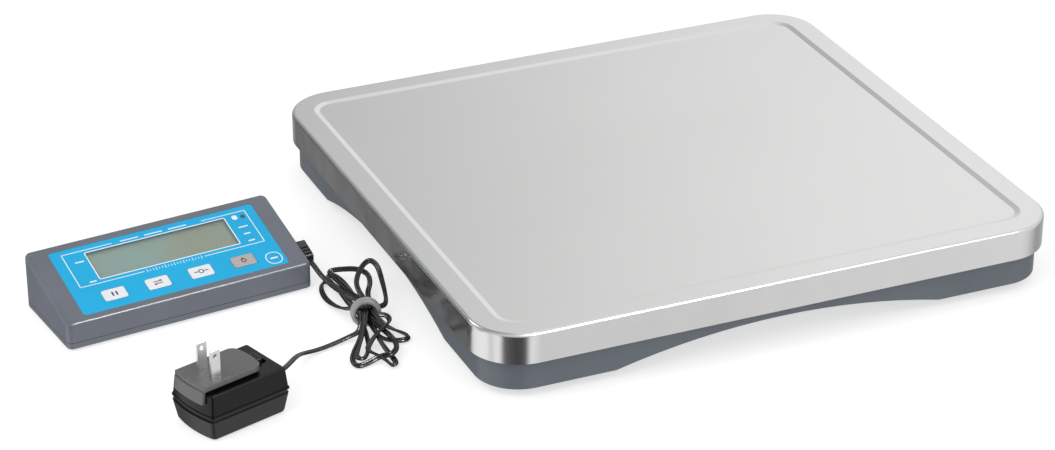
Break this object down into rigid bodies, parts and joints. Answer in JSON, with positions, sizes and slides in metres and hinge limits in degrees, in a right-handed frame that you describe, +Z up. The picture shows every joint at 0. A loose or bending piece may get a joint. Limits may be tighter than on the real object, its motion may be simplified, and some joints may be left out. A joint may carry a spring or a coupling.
{
  "type": "bench scale",
  "caption": "Low bench scale with a lift-off steel platter on an arched plastic base, a separate wedge-shaped indicator with keys, and a wall adapter on a tied twin lead.",
  "frame": {"origin": "centre of the base's footprint, on the bench", "axes": "+X along the platter's width to the right, +Y to the back, +Z up"},
  "size_m": [0.5904, 0.357, 0.0521],
  "materials": {
    "stainless": "fine brushed stainless sheet",
    "soft_rubber": "matt black rubber",
    "base_plastic": "blue-grey moulded plastic, fine grain",
    "inner_plastic": "dark grey moulded plastic",
    "cell_steel": "ground steel plate",
    "gauge_film": "amber film over foil",
    "screw_steel": "bright zinc",
    "wire_jacket": "soft grey jacket",
    "circuit_green": "green solder mask",
    "chip_black": "moulded black",
    "case_plastic": "grey moulded plastic with a light sheen",
    "film_blue": "printed cyan film",
    "window_clear": "clear pane",
    "lcd_green": "grey-green display",
    "lcd_frame_black": "black",
    "key_white": "white keys",
    "key_hatched": "white key printed with a warm grey hatch",
    "dome_metal": "sprung dome",
    "lamp_dark": "dark lens",
    "battery_jacket": "plain printed can",
    "snap_plate": "black",
    "adapter_gloss": "gloss black",
    "adapter_satin": "satin black",
    "head_gloss": "gloss black",
    "blade_nickel": "nickel plate",
    "spring_steel": "sprung strip",
    "core_iron": "ferrite core",
    "can_metal": "sleeved cans",
    "contact_brass": "sprung brass",
    "lead_black": "glossy black vinyl",
    "tie_grey": "grey-white"
  },
  "bodies": {
    "base": {"adapter_board": "circuit_green", "adapter_bottom": "adapter_satin", "adapter_capacitors": "can_metal", "adapter_top": "adapter_gloss", "base_shell": "base_plastic", "battery": "battery_jacket", "battery_snap": "snap_plate", "blade_contacts": "contact_brass", "board_parts": "chip_black", "board_screws": "screw_steel", "buzzer": "chip_black", "case_bottom": "case_plastic", "case_pads": "soft_rubber", "case_screws": "screw_steel", "case_top": "case_plastic", "cell_mounts": "inner_plastic", "cell_screws": "screw_steel", "cell_wires": "wire_jacket", "cord_adapter_side": "lead_black", "cord_hank": "lead_black", "cord_plug_side": "lead_black", "cord_tie": "tie_grey", "data_socket_base": "chip_black", "data_socket_case": "chip_black", "dc_jack": "chip_black", "face_film": "film_blue", "feet": "soft_rubber", "foot_hubs": "inner_plastic", "junction_board": "circuit_green", "junction_cover": "inner_plastic", "junction_parts": "chip_black", "junction_screws": "screw_steel", "key_switches": "dome_metal", "latch_spring": "spring_steel", "lcd_frame": "lcd_frame_black", "lcd_glass": "lcd_green", "load_cell_front_left": "cell_steel", "load_cell_front_right": "cell_steel", "load_cell_rear_left": "cell_steel", "load_cell_rear_right": "cell_steel", "main_board": "circuit_green", "platter_pads": "soft_rubber", "plug_barrel": "blade_nickel", "power_plug": "lead_black", "status_lamp": "lamp_dark", "strain_gauges": "gauge_film", "strain_relief": "lead_black", "transformer": "core_iron", "window_lens": "window_clear"},
    "platter": {"platter": "stainless"},
    "key_hold": {"key_hold": "key_white"},
    "key_unit": {"key_unit": "key_white"},
    "key_tare": {"key_tare": "key_white"},
    "key_zero": {"key_zero": "key_hatched"},
    "battery_door": {"battery_door": "case_plastic"},
    "plug_head": {"plug_head": "head_gloss", "plug_blades": "blade_nickel"},
    "latch": {"latch_button": "adapter_satin"}
  },
  "joints": [
    {"name": "platter_lift", "type": "slide", "parent": "base", "child": "platter", "axis": [0, 0, 1], "range_m": [0, 0.06]},
    {"name": "key_hold_press", "type": "slide", "parent": "base", "child": "key_hold", "axis": [-0.032, 0.284, -0.9583], "range_m": [0, 0.0004], "stiffness_N_per_m": 3000},
    {"name": "key_unit_press", "type": "slide", "parent": "base", "child": "key_unit", "axis": [-0.032, 0.284, -0.9583], "range_m": [0, 0.0004], "stiffness_N_per_m": 3000},
    {"name": "key_tare_press", "type": "slide", "parent": "base", "child": "key_tare", "axis": [-0.032, 0.284, -0.9583], "range_m": [0, 0.0004], "stiffness_N_per_m": 3000},
    {"name": "key_zero_press", "type": "slide", "parent": "base", "child": "key_zero", "axis": [-0.032, 0.284, -0.9583], "range_m": [0, 0.0004], "stiffness_N_per_m": 3000},
    {"name": "battery_door_slide", "type": "slide", "parent": "base", "child": "battery_door", "axis": [-0.112, 0.9937, 0], "range_m": [0, 0.03]},
    {"name": "plug_head_slide", "type": "slide", "parent": "base", "child": "plug_head", "axis": [-0.9521, -0.3057, 0], "range_m": [0, 0.036]},
    {"name": "latch_press", "type": "slide", "parent": "base", "child": "latch", "axis": [0.9521, 0.3057, 0], "range_m": [0, 0.0012], "stiffness_N_per_m": 1500}
  ]
}
